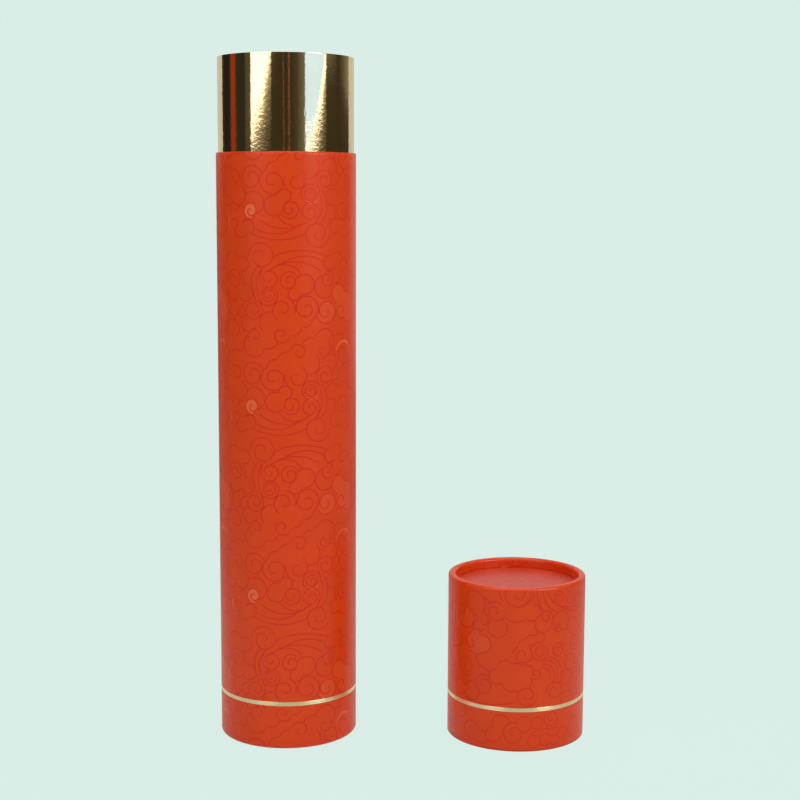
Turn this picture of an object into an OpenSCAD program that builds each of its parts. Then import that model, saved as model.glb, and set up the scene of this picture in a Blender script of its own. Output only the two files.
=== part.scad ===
// Round paper gift tube with a foil-papered neck and a lift-off cap.
//
// Two wound board tubes share one make: the wall's end is turned in over a pressed
// board disc, and printed paper covers the wall, the turned edge and its inner lip.
// The base tube stands on its turned edge. A longer inner tube, papered in foil, is
// glued inside it and stands up as the neck. The cap stands on its mouth beside it.
// Millimetres, +Z up, origin on the table midway between the two pieces.

/* [Base tube] */
// Outer diameter of the papered base tube
tube_d = 75; // [60:0.5:110]
// Height of the base tube
base_h = 318; // [160:1:420]
// Board thickness of the base tube's wall
base_board_t = 0.85; // [0.6:0.05:1.2]
// Thickness of the base's pressed disc
base_disc_t = 2; // [1:0.1:3]

/* [Neck] */
// Length of neck that shows above the base tube
neck_show = 50; // [20:1:70]
// Board thickness of the neck tube
neck_board_t = 1; // [0.6:0.05:2]
// Thickness of the foil paper on the neck
neck_foil_t = 0.12; // [0.08:0.01:0.2]
// Width of the open butt seam of the foil paper
neck_seam_w = 0.3; // [0.2:0.1:1]

/* [Cap] */
// Height of the cap
cap_h = 89.5; // [85:0.5:140]
// Board thickness of the cap's wall
cap_board_t = 0.85; // [0.6:0.05:1.2]
// Thickness of the cap's pressed disc
cap_disc_t = 2; // [1:0.1:3]
// Distance between the axes of the base tube and the cap beside it
cap_spacing = 126.7; // [116:0.1:180]

/* [Turned edge] */
// Width of the turned edge from the outer wall to the inner lip
turn_w = 4; // [3.6:0.1:6]
// Outer radius of each of its two bends
bend_r = 1.6; // [1.5:0.1:1.7]
// Depth of the inner lip, from the crest down to the disc
lip_h = 5.5; // [4:0.1:9]
// Number of small pleats of the paper on the inner lip
pleat_n = 30; // [12:1:48]
// Width of a pleat at the lip
pleat_w = 1.6; // [0.8:0.1:2.4]

/* [Papers] */
// Thickness of the printed paper
wrap_t = 0.15; // [0.1:0.01:0.2]
// Width of the lap seam of the printed paper at the back
lap_w = 8; // [5:0.5:14]
// Thickness of the lining papers
liner_t = 0.12; // [0.08:0.01:0.2]

/* [Foil stripe] */
// Height of the stamped stripe
stripe_h = 2.2; // [1:0.1:5]
// Thickness of the stamped stripe
stripe_t = 0.03; // [0.02:0.01:0.06]
// Middle of the base tube's stripe above the table
base_stripe_z = 25; // [12:0.5:60]
// Middle of the cap's stripe above its mouth
cap_stripe_z = 23; // [12:0.5:60]

/* [Fits] */
// Gap that a glue line leaves between two pieces
glue_gap = 0.04; // [0.03:0.01:0.06]
// Radial gap between the neck's foil paper and the cap's lining
slip_gap = 0.15; // [0.1:0.01:0.4]
// Radial gap round a pressed disc
disc_gap = 0.1; // [0.05:0.01:0.3]
// Radial gap round the round papers inside
paper_gap = 0.3; // [0.2:0.1:1]

/* [Hidden] */
$fn = 144;

// Radii of the base tube and the neck, from the outside inwards
base_r = tube_d / 2;
base_board_r = base_r - wrap_t - glue_gap;
base_bore_r = base_board_r - base_board_t;
neck_r = base_bore_r - glue_gap;
neck_board_r = neck_r - neck_foil_t - glue_gap;
neck_bore_r = neck_board_r - neck_board_t;
neck_lining_r = neck_bore_r - glue_gap;

// Radii of the cap, from the neck outwards
cap_inner_r = neck_r + slip_gap;
cap_lining_r = cap_inner_r + liner_t;
cap_bore_r = cap_lining_r + glue_gap;
cap_board_r = cap_bore_r + cap_board_t;
cap_r = cap_board_r + glue_gap + wrap_t;

// Heights in the base tube, from the table upwards
base_disc_z = lip_h + wrap_t + glue_gap;
base_floor_z = base_disc_z + base_disc_t + glue_gap;
neck_top_z = base_h + neck_show;

// Heights in the cap, from the mouth upwards
cap_cover_z = cap_h - lip_h - wrap_t;
cap_disc_z = cap_cover_z - glue_gap - cap_disc_t;
cap_ceiling_z = cap_disc_z - glue_gap - liner_t;

// Places of the two pieces on the table, with the whole set centred on the origin
base_x = -(cap_spacing + cap_r - base_r) / 2;
cap_x = base_x + cap_spacing;

// Seams lie at the back, where the lap's free edge is
seam_a = 88;
disc_chamfer = 0.3;
spare = 1;

printed_red = [0.80, 0.26, 0.12];
board_grey = [0.62, 0.56, 0.48];
foil_gold = [0.86, 0.74, 0.42];
lining_white = [0.93, 0.91, 0.86];

function arc_angle(width, radius) = width / radius * 180 / PI;

// Outline of a turned edge with its crest at z = 0 and its wall going down,
// drawn in from the outside by inset
module turned_outline(edge_r, wall_h, inset) {
    bend = bend_r - inset;
    for (x = [edge_r - turn_w + bend_r, edge_r - bend_r])
        translate([x, -bend_r])
            circle(bend);
    translate([edge_r - turn_w + inset, -wall_h])
        square([turn_w - 2 * inset, wall_h - bend_r]);
    translate([edge_r - turn_w + bend_r, -wall_h])
        square([turn_w - 2 * bend_r, wall_h - inset]);
}

// Section of one ply of a turned edge: wall, two bends and a lip that ends on the disc
module turned_ply(edge_r, wall_h, inset, thick) {
    difference() {
        turned_outline(edge_r, wall_h, inset);
        turned_outline(edge_r, wall_h + spare, inset + thick);
        translate([edge_r - turn_w - spare, -wall_h - spare])
            square([turn_w / 2 + spare, wall_h + spare - lip_h]);
    }
}

// Section of the second layer of paper, flush with the crest and half sunk in the first
module lap_ply(edge_r, wall_h) {
    intersection() {
        turned_ply(edge_r, wall_h, -wrap_t, wrap_t * 1.5);
        translate([edge_r - turn_w - spare, -wall_h])
            square([turn_w + 2 * spare, wall_h]);
    }
}

// Section of a pleat on the straight inner side of the lip, half sunk in the paper
module pleat_ply(edge_r) {
    translate([edge_r - turn_w - wrap_t, -lip_h + wrap_t])
        square([wrap_t * 1.5, lip_h - wrap_t - bend_r]);
}

// Board wall with its turned edge upwards and its crest at z = 0
module turned_board(edge_r, wall_h, thick) {
    rotate_extrude()
        turned_ply(edge_r, wall_h, wrap_t + glue_gap, thick);
}

// Printed paper of a turned wall, with the lap seam and the pleats of the lip
module turned_paper(edge_r, wall_h) {
    lip_r = edge_r - turn_w;
    rotate_extrude()
        turned_ply(edge_r, wall_h, 0, wrap_t);
    rotate([0, 0, seam_a])
        rotate_extrude(angle = arc_angle(lap_w, edge_r))
            lap_ply(edge_r, wall_h);
    for (i = [1:pleat_n - 1])
        rotate([0, 0, seam_a + i * 360 / pleat_n])
            rotate_extrude(angle = arc_angle(pleat_w, lip_r))
                pleat_ply(edge_r);
}

// Stamped stripe round a papered wall, stepping up over the lap seam
module foil_stripe(wall_r, mid_z) {
    lap_a = arc_angle(lap_w, wall_r);
    rotate([0, 0, seam_a + lap_a])
        rotate_extrude(angle = 360 - lap_a)
            translate([wall_r + glue_gap, mid_z - stripe_h / 2])
                square([stripe_t, stripe_h]);
    rotate([0, 0, seam_a])
        rotate_extrude(angle = lap_a)
            translate([wall_r + wrap_t + glue_gap, mid_z - stripe_h / 2])
                square([stripe_t, stripe_h]);
}

// Plain tube between two radii
module ring(outer_r, inner_r, height) {
    difference() {
        cylinder(r = outer_r, h = height);
        translate([0, 0, -spare])
            cylinder(r = inner_r, h = height + 2 * spare);
    }
}

// Pressed board disc with eased edges
module pressed_disc(radius, thick) {
    rotate_extrude()
        polygon([
            [0, 0], [radius - disc_chamfer, 0], [radius, disc_chamfer],
            [radius, thick - disc_chamfer], [radius - disc_chamfer, thick], [0, thick]
        ]);
}

module at_base() {
    translate([base_x, 0, 0])
        children();
}

module at_cap() {
    translate([cap_x, 0, 0])
        children();
}

// Wall of the base tube, turned in at the foot
module base_tube() {
    color(board_grey)
        at_base()
            mirror([0, 0, 1])
                turned_board(base_r, base_h, base_board_t);
}

// Printed paper of the base tube
module base_wrap() {
    color(printed_red)
        at_base()
            mirror([0, 0, 1])
                turned_paper(base_r, base_h);
}

// Stripe low on the base tube
module base_foil_stripe() {
    color(foil_gold)
        at_base()
            foil_stripe(base_r, base_stripe_z);
}

// Board disc held between the foot's lip and the neck tube
module base_disc() {
    color(board_grey)
        at_base()
            translate([0, 0, base_disc_z])
                pressed_disc(base_bore_r - disc_gap, base_disc_t);
}

// Printed paper on the underside of the base disc
module base_disc_cover() {
    color(printed_red)
        at_base()
            translate([0, 0, lip_h])
                cylinder(r = base_bore_r - disc_gap, h = wrap_t);
}

// Lining paper on the floor inside the tube
module base_floor_paper() {
    color(lining_white)
        at_base()
            translate([0, 0, base_floor_z])
                cylinder(r = neck_lining_r - liner_t - paper_gap, h = liner_t);
}

// Inner tube that stands on the base disc and rises as the neck
module neck_tube() {
    color(board_grey)
        at_base()
            translate([0, 0, base_floor_z])
                ring(neck_board_r, neck_bore_r, neck_top_z - base_floor_z);
}

// Foil paper round the whole inner tube, with an open butt seam at the back
module neck_foil() {
    gap_a = arc_angle(neck_seam_w, neck_r);
    color(foil_gold)
        at_base()
            rotate([0, 0, seam_a + gap_a])
                rotate_extrude(angle = 360 - gap_a)
                    translate([neck_r - neck_foil_t, base_floor_z])
                        square([neck_foil_t, neck_top_z - base_floor_z]);
}

// Lining paper inside the inner tube
module neck_lining() {
    color(lining_white)
        at_base()
            translate([0, 0, base_floor_z])
                ring(neck_lining_r, neck_lining_r - liner_t, neck_top_z - base_floor_z);
}

// Wall of the cap, turned in at the top
module cap_tube() {
    color(board_grey)
        at_cap()
            translate([0, 0, cap_h])
                turned_board(cap_r, cap_h, cap_board_t);
}

// Printed paper of the cap
module cap_wrap() {
    color(printed_red)
        at_cap()
            translate([0, 0, cap_h])
                turned_paper(cap_r, cap_h);
}

// Stripe low on the cap
module cap_foil_stripe() {
    color(foil_gold)
        at_cap()
            foil_stripe(cap_r, cap_stripe_z);
}

// Board disc under the cap's lip
module cap_disc() {
    color(board_grey)
        at_cap()
            translate([0, 0, cap_disc_z])
                pressed_disc(cap_bore_r - disc_gap, cap_disc_t);
}

// Printed paper on top of the cap's disc
module cap_disc_cover() {
    color(printed_red)
        at_cap()
            translate([0, 0, cap_cover_z])
                cylinder(r = cap_bore_r - disc_gap, h = wrap_t);
}

// Lining paper on the underside of the cap's disc
module cap_ceiling_paper() {
    color(lining_white)
        at_cap()
            translate([0, 0, cap_ceiling_z])
                cylinder(r = cap_bore_r - disc_gap, h = liner_t);
}

// Lining paper inside the cap's wall
module cap_lining() {
    color(lining_white)
        at_cap()
            ring(cap_lining_r, cap_inner_r, cap_ceiling_z - glue_gap);
}

base_tube();
base_wrap();
base_foil_stripe();
base_disc();
base_disc_cover();
base_floor_paper();
neck_tube();
neck_foil();
neck_lining();
cap_tube();
cap_wrap();
cap_foil_stripe();
cap_disc();
cap_disc_cover();
cap_ceiling_paper();
cap_lining();
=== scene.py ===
"""Dresses a round paper gift tube and its cap: printed papers, foil, boards, linings and a studio.

The tube stands open with its foil neck showing, and its cap stands beside it on its mouth.
Sizes of the pieces come from the frame; what the frame does not hold, such as the papers'
thickness and the print, is kept in the settings below. Lengths are in metres.
"""

from collections import namedtuple

import bpy
import numpy as np
from mathutils import Matrix, Vector


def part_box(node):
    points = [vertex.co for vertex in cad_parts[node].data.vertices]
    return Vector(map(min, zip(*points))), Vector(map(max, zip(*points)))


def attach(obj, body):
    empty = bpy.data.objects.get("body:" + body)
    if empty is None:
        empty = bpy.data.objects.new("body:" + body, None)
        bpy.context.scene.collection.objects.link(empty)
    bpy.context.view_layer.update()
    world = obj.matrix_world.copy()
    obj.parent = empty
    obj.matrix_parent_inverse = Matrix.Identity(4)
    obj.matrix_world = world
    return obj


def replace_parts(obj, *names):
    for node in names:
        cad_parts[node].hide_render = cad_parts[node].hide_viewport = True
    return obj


bl_info = {
    "name": "Paper gift tube",
    "version": (1, 0, 0),
    "blender": (4, 5, 0),
    "location": "3D View > Sidebar > Gift Tube",
    "description": "Papers, foil, boards and studio for a round gift tube with a foil neck and a cap",
    "category": "Object",
}

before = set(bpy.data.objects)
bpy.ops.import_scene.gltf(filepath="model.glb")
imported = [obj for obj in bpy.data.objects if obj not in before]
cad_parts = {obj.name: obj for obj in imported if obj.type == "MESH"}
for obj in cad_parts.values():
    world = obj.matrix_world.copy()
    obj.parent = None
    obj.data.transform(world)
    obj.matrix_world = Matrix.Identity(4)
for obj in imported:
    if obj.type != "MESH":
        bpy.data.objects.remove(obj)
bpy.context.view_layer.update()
MM = 0.001
TAU = 2 * np.pi

BASE_LO, BASE_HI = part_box("base_wrap")
NECK_LO, NECK_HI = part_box("neck_foil")
CAP_LO, CAP_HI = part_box("cap_wrap")

BASE_X = (BASE_LO.x + BASE_HI.x) / 2
CAP_X = (CAP_LO.x + CAP_HI.x) / 2
BASE_R = (BASE_HI.x - BASE_LO.x) / 2
CAP_R = (CAP_HI.x - CAP_LO.x) / 2
NECK_R = (NECK_HI.x - NECK_LO.x) / 2


class PaperSettings(bpy.types.PropertyGroup):
    """Printed papers and how they turn over the tubes' edges."""

    turn_w: bpy.props.FloatProperty(
        name="Turned edge", description="Width of the turned edge", default=4 * MM, unit="LENGTH")
    bend_r: bpy.props.FloatProperty(
        name="Bend", description="Outer radius of each bend of the edge", default=1.6 * MM, unit="LENGTH")
    lip_h: bpy.props.FloatProperty(
        name="Lip", description="Depth of the lip from crest to disc", default=5.5 * MM, unit="LENGTH")
    paper_t: bpy.props.FloatProperty(
        name="Paper", description="Thickness of the printed paper", default=0.15 * MM, unit="LENGTH")
    lap_w: bpy.props.FloatProperty(
        name="Lap", description="Width of the lap seam at the back", default=8 * MM, unit="LENGTH")
    seam_a: bpy.props.FloatProperty(
        name="Seam", description="Bearing of the lap's free edge", default=np.radians(88), subtype="ANGLE")
    pleats: bpy.props.IntProperty(
        name="Pleats", description="Pleats of the paper round the lip", default=30)
    pleat_h: bpy.props.FloatProperty(
        name="Pleat height", description="Height of a pleat", default=0.13 * MM, unit="LENGTH")
    red: bpy.props.FloatVectorProperty(
        name="Red", description="Ground colour of the print", default=(0.655, 0.047, 0.002),
        subtype="COLOR")
    disc_red: bpy.props.FloatVectorProperty(
        name="Disc red", description="Colour of the plain discs", default=(0.52, 0.034, 0.008),
        subtype="COLOR")
    core: bpy.props.FloatVectorProperty(
        name="Core", description="Cut edge of the paper", default=(0.70, 0.52, 0.42), subtype="COLOR")


class PrintSettings(bpy.types.PropertyGroup):
    """Scrolling cloud print: a tile that repeats round and up the sheet."""

    base_columns: bpy.props.IntProperty(
        name="Base columns", description="Repeats of its tile round the tube", default=3)
    cap_columns: bpy.props.IntProperty(
        name="Cap columns", description="Repeats of its tile round the cap", default=2)
    base_turn: bpy.props.FloatProperty(
        name="Base turn", description="Bearing of the tile on the tube",
        default=np.radians(-142.6), subtype="ANGLE")
    base_rise: bpy.props.FloatProperty(
        name="Base rise", description="Shift of the print up the tube", default=65.8 * MM, unit="LENGTH")
    cap_turn: bpy.props.FloatProperty(
        name="Cap turn", description="Bearing of the tile on the cap",
        default=np.radians(-98.6), subtype="ANGLE")
    cap_rise: bpy.props.FloatProperty(
        name="Cap rise", description="Shift of the print up the cap", default=0.0, unit="LENGTH")
    line_w: bpy.props.FloatProperty(
        name="Line", description="Width of a printed line", default=0.66 * MM, unit="LENGTH")
    lift: bpy.props.FloatProperty(
        name="Lift", description="Height of the ink above the paper", default=0.02 * MM, unit="LENGTH")
    line: bpy.props.FloatVectorProperty(
        name="Line colour", description="Colour of the lines", default=(0.595, 0.019, 0.004),
        subtype="COLOR")
    light: bpy.props.FloatVectorProperty(
        name="Light colour", description="Colour of the light scrolls", default=(0.705, 0.108, 0.034),
        subtype="COLOR")


class FoilSettings(bpy.types.PropertyGroup):
    """Foil paper of the neck and the stamped stripes."""

    seam_w: bpy.props.FloatProperty(
        name="Foil seam", description="Open butt seam of the neck's foil", default=0.3 * MM, unit="LENGTH")
    foil_t: bpy.props.FloatProperty(
        name="Foil paper", description="Thickness of the foil paper", default=0.12 * MM, unit="LENGTH")
    gold: bpy.props.FloatVectorProperty(
        name="Gold", description="Reflection of the neck's foil", default=(0.90, 0.72, 0.42),
        subtype="COLOR")
    stripe: bpy.props.FloatVectorProperty(
        name="Stripe gold", description="Reflection of the stripes", default=(1.0, 0.88, 0.52),
        subtype="COLOR")


class StageSettings(bpy.types.PropertyGroup):
    """Camera, floor, backdrop, lamps and flags."""

    mint: bpy.props.FloatVectorProperty(
        name="Backdrop", description="Colour of the floor and the backdrop",
        default=(0.703, 0.849, 0.801), subtype="COLOR")
    camera: bpy.props.FloatVectorProperty(
        name="Camera", description="Camera's place from the foot of the tube",
        default=(75.64 * MM, -835.92 * MM, 292.18 * MM), unit="LENGTH")
    yaw: bpy.props.FloatProperty(
        name="Yaw", description="Turn of the camera to its left", default=0.0168, subtype="ANGLE")
    pitch: bpy.props.FloatProperty(
        name="Pitch", description="Dip of the camera", default=0.1274, subtype="ANGLE")
    roll: bpy.props.FloatProperty(
        name="Roll", description="Roll of the camera", default=0.0041, subtype="ANGLE")
    lens: bpy.props.FloatProperty(
        name="Lens", description="Focal length in millimetres", default=69.4)
    pale: bpy.props.FloatVectorProperty(
        name="Pale", description="Floor and backdrop as the object's gloss sees them",
        default=(0.65, 0.63, 0.60), subtype="COLOR")
    left: bpy.props.FloatProperty(
        name="Left", description="Radiance of the left softbox", default=1.7)
    right: bpy.props.FloatProperty(
        name="Right", description="Radiance of the right softbox", default=2.15)
    top: bpy.props.FloatProperty(
        name="Top", description="Radiance of the overhead softbox", default=3.2)
    ambient: bpy.props.FloatProperty(
        name="Ambient", description="Level of the room's diffuse light", default=0.5)
    lean: bpy.props.FloatProperty(
        name="Lean", description="Share of the diffuse light that leans to the right", default=0.44)
    dark: bpy.props.FloatVectorProperty(
        name="Dark room", description="The room as the object's gloss sees it",
        default=(0.045, 0.036, 0.020), subtype="COLOR")


SETTINGS = {
    "gift_tube_paper": PaperSettings,
    "gift_tube_print": PrintSettings,
    "gift_tube_foil": FoilSettings,
    "gift_tube_stage": StageSettings,
}


def paper():
    """The scene's own settings of the papers; the next three are alike."""
    return bpy.context.scene.gift_tube_paper


def printing():
    return bpy.context.scene.gift_tube_print


def foil():
    return bpy.context.scene.gift_tube_foil


def studio():
    return bpy.context.scene.gift_tube_stage


# The lap eases away over this much past its hidden edge, and the paper sags by this much on the lip
LAP_EASE = 1.5 * MM
SAG = 0.05 * MM
# Power of a pleat's fold
FOLD_SHARPNESS = 14


class Sheet:
    """A printed sheet wrapped round a wall and turned in at one end.

    A point of the sheet is (a, s): a is the bearing round the axis, and s the distance along
    the paper from the wall's cut end, up the wall, over two quarter bends of radius bend_r with
    a flat land between them, and down the inner lip. rise is +1 where the turned edge is on
    top and -1 where it is the foot.
    """

    def __init__(self, x, radius, cut_z, crest_z):
        p = paper()
        self.x = x
        self.radius = radius
        self.crest_z = crest_z
        self.rise = 1.0 if crest_z > cut_z else -1.0
        wall = abs(crest_z - cut_z)
        arc = p.bend_r * np.pi / 2
        self.knots = np.cumsum([0, wall - p.bend_r, arc, p.turn_w - 2 * p.bend_r, arc, p.lip_h - p.bend_r])
        self.length = self.knots[-1]
        self.wall = wall

    def profile(self, s, inset=0.0):
        """Radius, height and outward normal at distance s; inset moves the surface in along the normal."""
        p = paper()
        k = self.knots
        s = np.asarray(s, float)
        turn1 = np.clip((s - k[1]) / (k[2] - k[1]), 0, 1) * np.pi / 2
        turn2 = np.clip((s - k[3]) / (k[4] - k[3]), 0, 1) * np.pi / 2
        turn = turn1 + turn2
        normal_r = np.cos(turn)
        normal_z = np.sin(turn)
        centre_r = self.radius - p.bend_r - np.clip(s - k[2], 0, k[3] - k[2])
        centre_z = -p.bend_r + np.minimum(s - k[1], 0) - np.maximum(s - k[4], 0)
        r = centre_r + (p.bend_r - inset) * normal_r
        z = centre_z + (p.bend_r - inset) * normal_z
        return r, z, normal_r, normal_z

    def relief(self, a, s):
        """Height of the paper's own relief: the lap seam, and pleats on the lip.

        The lap rises by one paper at its free edge and eases away over its hidden edge. A pleat
        is a sharp fold, cos to a high power, that leans as it runs down the lip.
        """
        p = paper()
        k = self.knots
        span = p.lap_w / self.radius
        ease = LAP_EASE / self.radius
        d = (a - p.seam_a) % TAU
        lap = np.where(d < span, 1.0, np.clip(1 - (d - span) / ease, 0, 1)) * p.paper_t
        down = np.clip((s - k[3]) / (k[5] - k[3]), 0, 1)
        lean = 0.9 * down + 0.35 * np.sin(5 * a) + 0.25 * np.sin(13 * a + 1)
        fold = np.abs(np.cos(0.5 * p.pleats * (a + 0.02 * lean))) ** FOLD_SHARPNESS
        uneven = 0.55 + 0.45 * np.sin(7 * a + 2) * np.sin(3 * a)
        sag = SAG * np.sin(11 * a) * down
        return lap + (fold * uneven * p.pleat_h + sag) * down ** 0.5

    def points(self, a, s, lift=0.0, inset=0.0, relief=True):
        """Places of (a, s) in the frame, lifted off the paper along its normal.

        Relief only moves points across the axis, so nothing passes the crest's plane.
        """
        a = np.asarray(a, float)
        r, z, normal_r, normal_z = self.profile(s, inset)
        bump = self.relief(a, s) if relief else 0.0
        r = r + normal_r * (lift + bump)
        z = z + normal_z * lift
        out = np.empty(np.broadcast(a, r).shape + (3,))
        out[..., 0] = self.x + r * np.cos(a)
        out[..., 1] = r * np.sin(a)
        out[..., 2] = self.crest_z + self.rise * z
        return out


def sheets():
    """The tube's sheet, turned in at the foot, and the cap's, turned in at the top."""
    return {
        "base": Sheet(BASE_X, BASE_R, BASE_HI.z, BASE_LO.z),
        "cap": Sheet(CAP_X, CAP_R, CAP_LO.z, CAP_HI.z),
    }


def new_object(name, data):
    """An object in the scene."""
    obj = bpy.data.objects.new(name, data)
    bpy.context.scene.collection.objects.link(obj)
    return obj


def new_mesh(name, verts, faces, body, material, uv):
    """A smooth mesh piece in the frame from arrays; faces are blocks of quads or of triangles."""
    mesh = bpy.data.meshes.new(name)
    flat = [face for block in faces for face in np.asarray(block, int).tolist()]
    mesh.from_pydata(np.asarray(verts, float).reshape(-1, 3).tolist(), [], flat)
    mesh.polygons.foreach_set("use_smooth", np.ones(len(mesh.polygons), bool))
    loops = np.empty(len(mesh.loops), np.int32)
    mesh.loops.foreach_get("vertex_index", loops)
    layer = mesh.uv_layers.new(name="OFBake")
    layer.data.foreach_set("uv", np.asarray(uv, float).reshape(-1, 2)[loops].ravel())
    mesh.materials.append(material)
    obj = new_object(name, mesh)
    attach(obj, body)
    return obj


def grid_faces(rows, columns, wrap_columns, wrap_rows=False, flip=False):
    """Quads of a rows by columns grid, closed round the columns or the rows where asked."""
    i = np.arange(rows if wrap_rows else rows - 1)[:, None]
    j = np.arange(columns if wrap_columns else columns - 1)[None, :]
    i2 = (i + 1) % rows
    j2 = (j + 1) % columns
    quads = np.stack([i * columns + j, i * columns + j2, i2 * columns + j2, i2 * columns + j], -1)
    quads = quads.reshape(-1, 4)
    return quads[:, ::-1] if flip else quads


def grid_uv(columns, v):
    """UV of a grid: u runs evenly along the columns, and v holds a value for each row."""
    return np.stack(np.broadcast_arrays(np.linspace(0, 1, columns)[None, :], v[:, None]), -1)


def paint(obj, name, values):
    """A number at each point of a piece, for its material to read."""
    obj.data.attributes.new(name, "FLOAT", "POINT").data.foreach_set("value", np.ravel(values))


class Nodes:
    """A small hand for building the nodes of a material or of the world."""

    def __init__(self, owner, bare=False):
        self.owner = owner
        owner.use_nodes = True
        self.tree = owner.node_tree
        if bare:
            self.tree.nodes.clear()
        else:
            self.shader = self.tree.nodes["Principled BSDF"]

    def add(self, kind, **values):
        """A node; each value goes to its property or, failing that, to its input of that name."""
        node = self.tree.nodes.new(kind)
        for key, value in values.items():
            if hasattr(node, key):
                setattr(node, key, value)
            else:
                node.inputs[key.replace("_", " ")].default_value = value
        return node

    def link(self, out, into):
        self.tree.links.new(out, into)

    def attribute(self, name, output="Fac"):
        """What the mesh holds at each point under that name."""
        return self.add("ShaderNodeAttribute", attribute_name=name).outputs[output]

    def noise(self, scale, detail, rough=0.55):
        """Noise over Object coordinates."""
        node = self.add("ShaderNodeTexNoise", Scale=scale, Detail=detail, Roughness=rough)
        self.link(self.add("ShaderNodeTexCoord").outputs["Object"], node.inputs["Vector"])
        return node.outputs["Fac"]

    def remap(self, value, low, high, to_low, to_high):
        """The value carried from one range to another, and held within it."""
        node = self.add("ShaderNodeMapRange", From_Min=low, From_Max=high, To_Min=to_low, To_Max=to_high)
        self.link(value, node.inputs["Value"])
        return node.outputs["Result"]

    def vary(self, scale, detail, low, high):
        """A number that wanders with noise between low and high."""
        return self.remap(self.noise(scale, detail), 0.3, 0.7, low, high)

    def mottle(self, scale, detail, one, two):
        """A colour that wanders with noise between two."""
        return self.mix(self.remap(self.noise(scale, detail), 0.35, 0.65, 0, 1), one, two)

    def mix(self, amount, one, two):
        """Mix of two colours, each a colour or a socket."""
        node = self.add("ShaderNodeMix", data_type="RGBA")
        self.link(amount, node.inputs["Factor"])
        for socket, colour in ((node.inputs[6], one), (node.inputs[7], two)):
            if isinstance(colour, bpy.types.NodeSocket):
                self.link(colour, socket)
            else:
                socket.default_value = (*colour, 1)
        return node.outputs[2]

    def math(self, operation, one, two):
        node = self.add("ShaderNodeMath", operation=operation)
        for socket, value in zip(node.inputs, (one, two)):
            self.link(value, socket)
        return node.outputs[0]

    def bump(self, height, strength, distance, before=None):
        """A normal that leans with the height, over another normal where one is given."""
        node = self.add("ShaderNodeBump", Strength=strength, Distance=distance)
        self.link(height, node.inputs["Height"])
        if before is not None:
            self.link(before, node.inputs["Normal"])
        return node.outputs["Normal"]

    def light(self, kind, colour, strength=None):
        """A shader of one colour; strength may be a socket."""
        node = self.add(kind, Color=(*colour, 1))
        if strength is not None:
            self.link(strength, node.inputs["Strength"])
        return node.outputs[0]

    def blend(self, amount, one, two):
        """Mix of two shaders."""
        node = self.add("ShaderNodeMixShader")
        for socket, out in zip(node.inputs, (amount, one, two)):
            self.link(out, socket)
        return node.outputs[0]

    def show(self, shader, kind="Material"):
        """Give the material or the world its shader."""
        self.link(shader, self.add("ShaderNodeOutput" + kind).inputs["Surface"])

    def set(self, **values):
        """Even values of the shader's inputs."""
        for key, value in values.items():
            self.shader.inputs[key.replace("_", " ")].default_value = value

    def feed(self, **sockets):
        """Sockets linked to the shader's inputs."""
        for key, socket in sockets.items():
            self.link(socket, self.shader.inputs[key.replace("_", " ")])


def surface(name):
    """A new surface material."""
    return Nodes(bpy.data.materials.new(name))


def shade(colour, factor):
    """The colour times a factor, held below 1."""
    return tuple(min(1.0, c * factor) for c in colour)


def crease_shade_red(red):
    """Painted shade of a crease: a deeper red that stands in for the shade there and for the red light that
    goes to and fro between the papers.
    """
    return red[0] * 0.75, red[1] * 0.15, red[2] * 0.5


# Lowest and highest roughness and the refraction of the film, on the flat and on the turned edge,
# which stretches it
FILM = ((0.29, 0.36, 1.34), (0.27, 0.34, 1.42))


def film(n, shine):
    """The film's gloss over paper or ink: shine is 0 on the flat and 1 on the turned edge."""
    low, high, ior = FILM[shine]
    n.feed(Roughness=n.vary(220, 5, low, high))
    n.set(IOR=ior)


def printed_paper(name, shine):
    """Film over a printed ground. The wear attribute bares the pale core where the paper is worn, and below
    0 paints the shade of a crease.
    """
    n = surface(name)
    red = tuple(paper().red)
    wear_and_crease_shade = n.attribute("wear_and_crease_shade")
    ground = n.mottle(45, 3, red, shade(red, 0.95))
    ragged = n.math("MULTIPLY", wear_and_crease_shade, n.vary(700, 4, 0.5, 1.3))
    # Painted shade: below 0 the attribute deepens the red into the crease at the lip's foot
    crease_shaded = n.mix(n.remap(wear_and_crease_shade, 0, -1, 0, 1), ground, crease_shade_red(red))
    n.feed(Base_Color=n.mix(n.remap(ragged, 0.1, 1.0, 0, 1), crease_shaded, tuple(paper().core)))
    fibre = n.bump(n.noise(1400, 6, 0.6), 0.10, 0.04 * MM)
    n.feed(Normal=n.bump(n.noise(90, 3), 0.10, 0.2 * MM, fibre))
    film(n, shine)
    return n.owner


def ink(name, colour, shine=0):
    """Printed ink under the same film."""
    n = surface(name)
    n.feed(Base_Color=n.mottle(120, 3, shade(colour, 0.93), shade(colour, 1.06)))
    film(n, shine)
    return n.owner


def tinted_ink():
    """Ink of the tinted scrolls: the tone attribute runs from the ground's red at 0 to light at 1."""
    n = surface("cloud tint")
    n.feed(Base_Color=n.mix(n.attribute("tone"), tuple(paper().red), tuple(printing().light)))
    film(n, 0)
    return n.owner


def plain_paper():
    """Plain red paper of the pressed discs: fine grain, and painted shade that deepens the red in the crease
    round its edge.
    """
    n = surface("disc paper")
    red = tuple(paper().disc_red)
    flat = n.mottle(60, 4, shade(red, 0.93), shade(red, 1.05))
    n.feed(Base_Color=n.mix(n.attribute("edge"), flat, crease_shade_red(red)))
    n.feed(Roughness=n.vary(260, 4, 0.34, 0.44))
    grain = n.bump(n.noise(1600, 4), 0.08, 0.03 * MM)
    n.feed(Normal=n.bump(n.noise(55, 2), 0.12, 0.3 * MM, grain))
    n.set(IOR=1.58)
    return n.owner


def cut_paper():
    """Pale core of a cut paper edge."""
    n = surface("paper core")
    core = tuple(paper().core)
    n.feed(Base_Color=n.mix(n.noise(900, 4), shade(core, 0.85), core))
    n.set(Roughness=0.8)
    return n.owner


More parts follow.
